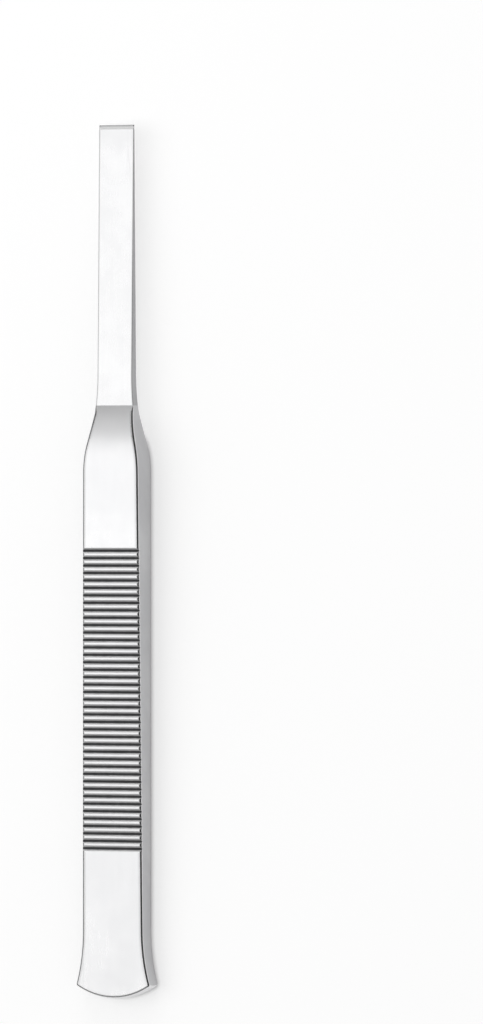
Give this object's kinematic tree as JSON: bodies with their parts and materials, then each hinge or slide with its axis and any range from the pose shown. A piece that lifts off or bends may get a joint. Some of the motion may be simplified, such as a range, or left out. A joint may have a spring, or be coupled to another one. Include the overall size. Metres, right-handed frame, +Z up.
{
  "type": "osteotome",
  "caption": "Straight nasal osteotome with a thin wedge blade, a flat handle with cross grooves on both broad faces, and a splayed crowned head for the mallet.",
  "frame": {"origin": "on the table under the middle of the tool's length, where the handle's back face lies", "axes": "+Y along the tool towards the cutting edge, +Z up out of the handle's front face, +X to the right"},
  "size_m": [0.016, 0.175, 0.0075],
  "materials": {
    "instrument_steel": "satin-polished surgical stainless steel, with fine lengthwise grain on the broad faces and bright cut grooves"
  },
  "bodies": {
    "root": {"osteotome": "instrument_steel"}
  },
  "joints": []
}
